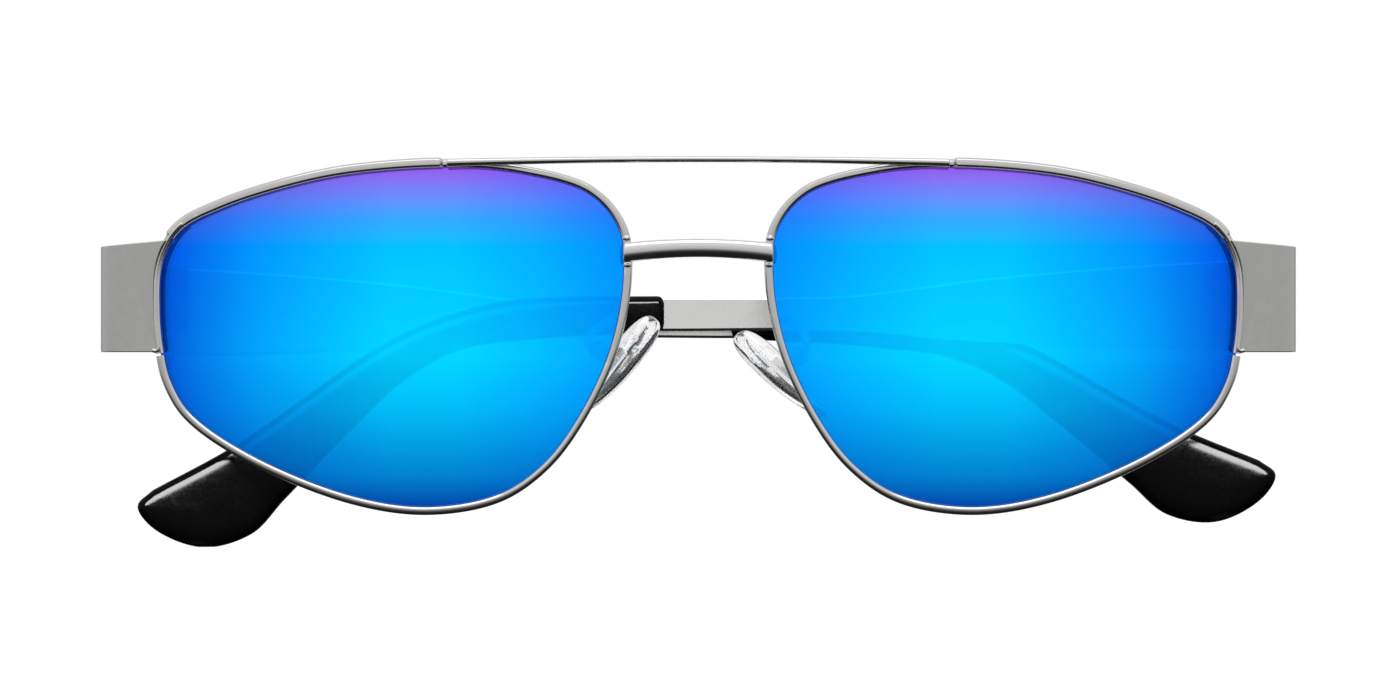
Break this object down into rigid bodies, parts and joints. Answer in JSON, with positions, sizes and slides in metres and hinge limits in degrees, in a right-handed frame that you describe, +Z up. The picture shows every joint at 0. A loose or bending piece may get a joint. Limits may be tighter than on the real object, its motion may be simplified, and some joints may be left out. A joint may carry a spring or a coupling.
{
  "type": "aviator sunglasses",
  "caption": "Metal-framed aviator sunglasses with mirrored lenses, adjustable silicone nose pads and hinged temples folded behind the front.",
  "frame": {"origin": "bottom centre of the box of the folded sunglasses: the mirror plane in X, the middle of the folded depth in Y, the lowest point of the temple tips in Z", "axes": "+X across the front towards the right of someone looking at the lenses, +Y from the lenses back to the folded temples, +Z up. Left and right in the names are that viewer's"},
  "size_m": [0.144, 0.0232, 0.047],
  "materials": {
    "satin_metal": "satin gunmetal, fine brushed",
    "polished_metal": "polished",
    "hardware_metal": "bright, lightly brushed",
    "mirror_lens": "blue mirror coating, glossy",
    "black_plastic": "polished black",
    "clear_silicone": "clear, smooth"
  },
  "bodies": {
    "front": {"brow_bar": "satin_metal", "nose_bridge": "polished_metal", "rim_left": "satin_metal", "lens_left": "mirror_lens", "end_piece_left": "satin_metal", "rim_lock_upper_left": "hardware_metal", "rim_lock_lower_left": "hardware_metal", "rim_lock_screw_left": "hardware_metal", "hinge_front_left": "hardware_metal", "hinge_screw_left": "hardware_metal", "pad_arm_left": "hardware_metal", "pad_box_left": "hardware_metal", "pad_screw_left": "hardware_metal", "rim_right": "satin_metal", "lens_right": "mirror_lens", "end_piece_right": "satin_metal", "rim_lock_upper_right": "hardware_metal", "rim_lock_lower_right": "hardware_metal", "rim_lock_screw_right": "hardware_metal", "hinge_front_right": "hardware_metal", "hinge_screw_right": "hardware_metal", "pad_arm_right": "hardware_metal", "pad_box_right": "hardware_metal", "pad_screw_right": "hardware_metal"},
    "temple_left": {"temple_bar_left": "satin_metal", "temple_tip_left": "black_plastic", "hinge_temple_left": "hardware_metal"},
    "pad_left": {"nose_pad_left": "clear_silicone", "pad_insert_left": "hardware_metal"},
    "temple_right": {"temple_bar_right": "satin_metal", "temple_tip_right": "black_plastic", "hinge_temple_right": "hardware_metal"},
    "pad_right": {"nose_pad_right": "clear_silicone", "pad_insert_right": "hardware_metal"}
  },
  "joints": [
    {"name": "temple_left_hinge", "type": "hinge", "parent": "front", "child": "temple_left", "pos_m": [-0.06935, 0.00447, 0.03385], "axis": [0, 0, 1], "range_deg": [0, 89.5]},
    {"name": "temple_right_hinge", "type": "hinge", "parent": "front", "child": "temple_right", "pos_m": [0.06935, 0.00447, 0.03385], "axis": [0, 0, -1], "range_deg": [0, 93]},
    {"name": "nose_pad_left_rock", "type": "hinge", "parent": "front", "child": "pad_left", "pos_m": [-0.01145, -0.00437, 0.02332], "axis": [-0.2968, 0.9242, 0.2403], "range_deg": [-8, 8]},
    {"name": "nose_pad_right_rock", "type": "hinge", "parent": "front", "child": "pad_right", "pos_m": [0.01145, -0.00437, 0.02252], "axis": [0.2968, 0.9242, 0.2403], "range_deg": [-8, 8]}
  ]
}
